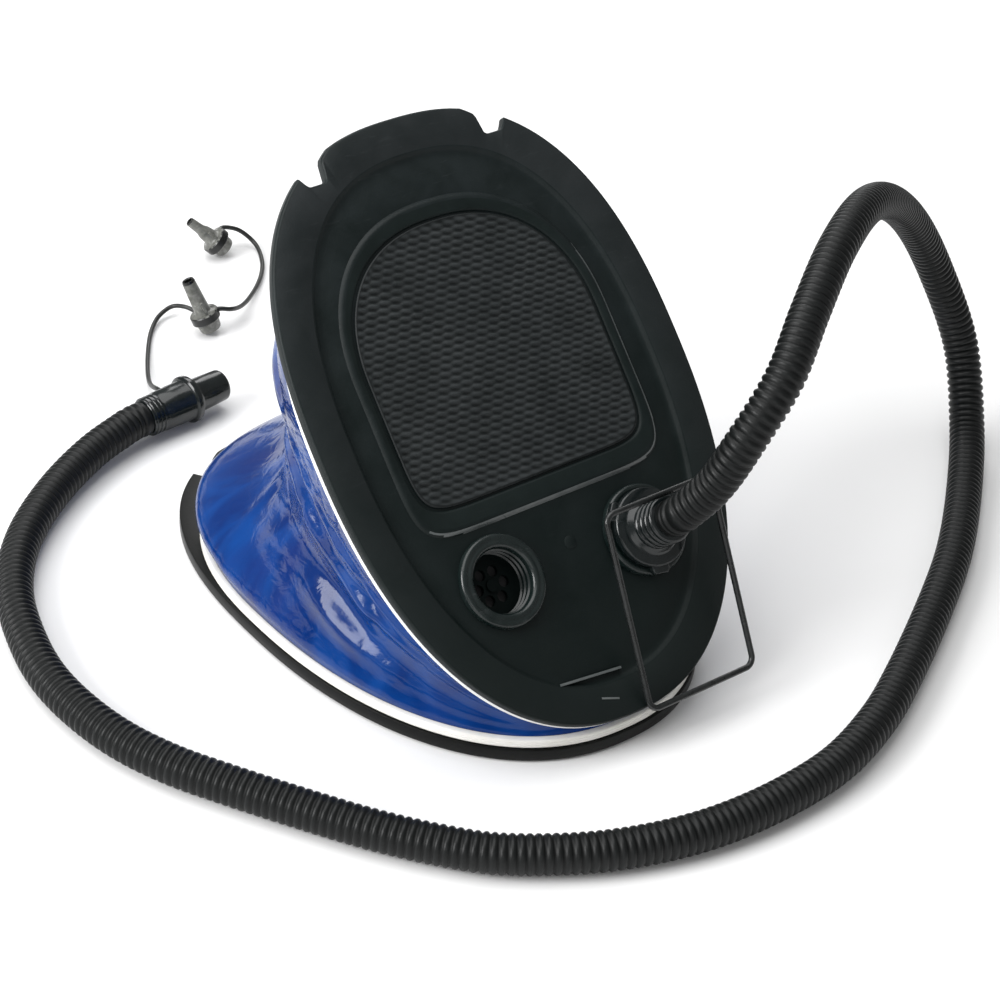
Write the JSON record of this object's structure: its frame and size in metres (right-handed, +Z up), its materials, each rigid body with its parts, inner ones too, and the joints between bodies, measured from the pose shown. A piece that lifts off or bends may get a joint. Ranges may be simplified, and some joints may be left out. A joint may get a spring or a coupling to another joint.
{
  "type": "foot air pump",
  "caption": "Wedge-shaped foot bellows pump: egg-shaped base and hinged treadle, blue vinyl bellows, ribbed hose with nozzle and tethered adapters, wire closing ring.",
  "frame": {"origin": "on the floor under the middle of the pump's own box, with the free hose, nozzle, straps and adapters left out", "axes": "+X to the right seen from the hinge end, +Y from the hinge end to the lip, +Z up"},
  "size_m": [0.5487, 0.5734, 0.2341],
  "materials": {
    "black_plastic": "moulded satin black",
    "pad_plastic": "fine moulded mesh, matte black",
    "black_rubber": "matte",
    "blue_vinyl": "coated fabric, glossy, creased",
    "white_vinyl": "smooth white vinyl",
    "grey_plastic": "dark grey, a little glossy",
    "steel": "zinc plated",
    "black_wire": "black coated wire"
  },
  "bodies": {
    "base": {"base_tray": "black_plastic", "foot_near_left": "black_rubber", "foot_near_right": "black_rubber", "foot_far_left": "black_rubber", "foot_far_right": "black_rubber", "screw_right_far": "steel", "screw_left_far": "steel", "screw_left_near": "steel", "screw_right_near": "steel", "lower_binding": "white_vinyl", "lower_clamp_ring": "black_plastic", "lower_hinge_leaf": "steel", "hinge_pin": "steel", "lower_spring_seat": "black_plastic", "spring": "steel", "bellows": "blue_vinyl", "hose": "black_rubber", "nozzle": "black_plastic", "adapter_wide": "grey_plastic", "adapter_narrow": "grey_plastic", "strap_long": "grey_plastic", "strap_short": "grey_plastic"},
    "treadle": {"treadle": "black_plastic", "tread_pad": "pad_plastic", "upper_binding": "white_vinyl", "upper_clamp_ring": "black_plastic", "upper_hinge_leaf": "steel", "upper_spring_seat": "black_plastic", "intake_socket": "black_plastic", "outlet_socket": "black_plastic", "intake_seat": "grey_plastic", "outlet_seat": "grey_plastic", "intake_pin": "grey_plastic", "outlet_pin": "grey_plastic", "hose_cuff": "black_plastic"},
    "outlet_disc": {"outlet_disc": "black_rubber"},
    "intake_disc": {"intake_disc": "black_rubber"},
    "closing_ring": {"closing_ring": "black_wire"}
  },
  "joints": [
    {"name": "treadle_hinge", "type": "hinge", "parent": "base", "child": "treadle", "pos_m": [0, -0.13125, 0.02296], "axis": [-1, 0, 0], "range_deg": [0, 40], "stiffness_Nm_per_rad": 10, "springref_deg": -14.32, "deforming": ["bellows", "spring", "hose"]},
    {"name": "outlet_valve", "type": "slide", "parent": "treadle", "child": "outlet_disc", "axis": [0, -0.709, 0.7053], "range_m": [0, 0.0021]},
    {"name": "intake_valve", "type": "slide", "parent": "treadle", "child": "intake_disc", "axis": [0, -0.709, 0.7053], "range_m": [0, 0.0014]},
    {"name": "ring_swing", "type": "hinge", "parent": "treadle", "child": "closing_ring", "pos_m": [0.0375, -0.15272, 0.02104], "axis": [-1, 0, 0], "range_deg": [0, 9]}
  ]
}
